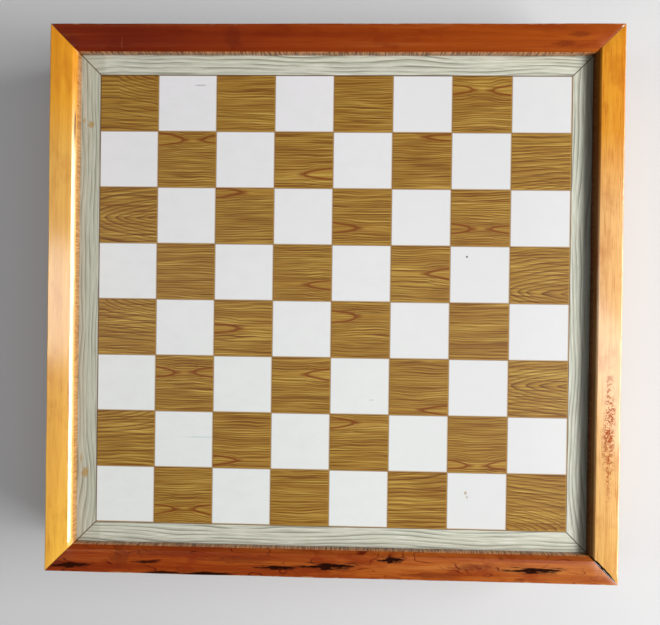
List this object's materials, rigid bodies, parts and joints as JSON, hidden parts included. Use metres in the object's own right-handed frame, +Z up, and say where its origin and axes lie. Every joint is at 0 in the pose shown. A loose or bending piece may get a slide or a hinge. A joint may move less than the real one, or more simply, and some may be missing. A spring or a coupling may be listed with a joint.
{
  "type": "chess box",
  "caption": "Wooden chess box with a framed, recessed board as its hinged lid, a hook clasp, a lined case with dividers and a full set of chessmen lying in it.",
  "frame": {"origin": "centre of the underside of the case", "axes": "+X to the right along the front, +Y to the back, where the hinges are, +Z up"},
  "size_m": [0.3842, 0.3797, 0.068],
  "materials": {
    "varnished_pine": "gloss varnish",
    "steel_nail": "dull",
    "plywood": "bare, sanded",
    "printed_sheet": "satin print",
    "stained_pine": "satin varnish",
    "green_baize": "napped",
    "divider_wood": "satin",
    "brass": "aged",
    "light_boxwood": "polished",
    "base_felt": "felted",
    "dark_walnut": "polished"
  },
  "bodies": {
    "box": {"box_wall_front": "stained_pine", "box_wall_back": "stained_pine", "box_wall_left": "stained_pine", "box_wall_right": "stained_pine", "box_corner_pins": "steel_nail", "box_bottom": "plywood", "bottom_brads": "steel_nail", "baize_lining": "green_baize", "divider_left": "divider_wood", "divider_centre": "divider_wood", "divider_right": "divider_wood", "cross_dividers": "divider_wood", "hinge_left_box_leaf": "brass", "hinge_left_pin": "brass", "hinge_right_box_leaf": "brass", "hinge_right_pin": "brass", "hinge_box_screws": "brass", "clasp_base": "brass", "clasp_base_screws": "brass", "clasp_rivet": "brass", "light_king": "light_boxwood", "light_queen": "light_boxwood", "light_bishop_1": "light_boxwood", "light_bishop_2": "light_boxwood", "light_knight_1": "light_boxwood", "light_knight_2": "light_boxwood", "light_rook_1": "light_boxwood", "light_rook_2": "light_boxwood", "light_pawns": "light_boxwood", "light_felts": "base_felt", "dark_king": "dark_walnut", "dark_queen": "dark_walnut", "dark_bishop_1": "dark_walnut", "dark_bishop_2": "dark_walnut", "dark_knight_1": "dark_walnut", "dark_knight_2": "dark_walnut", "dark_rook_1": "dark_walnut", "dark_rook_2": "dark_walnut", "dark_pawns": "dark_walnut", "dark_felts": "base_felt"},
    "lid": {"lid_rail_front": "varnished_pine", "lid_rail_back": "varnished_pine", "lid_rail_left": "varnished_pine", "lid_rail_right": "varnished_pine", "lid_corner_pins": "steel_nail", "board_panel": "plywood", "board_print": "printed_sheet", "hinge_left_lid_leaf": "brass", "hinge_right_lid_leaf": "brass", "hinge_lid_screws": "brass", "clasp_keeper": "brass", "clasp_keeper_screws": "brass", "clasp_stud": "brass"},
    "hook": {"clasp_hook": "brass"}
  },
  "joints": [
    {"name": "lid_hinge", "type": "hinge", "parent": "box", "child": "lid", "pos_m": [0, 0.1881, 0.044], "axis": [-1, 0, 0], "range_deg": [0, 180]},
    {"name": "hook_swing", "type": "hinge", "parent": "box", "child": "hook", "pos_m": [0, -0.1865, 0.035], "axis": [0, -1, 0], "range_deg": [0, 180]}
  ]
}
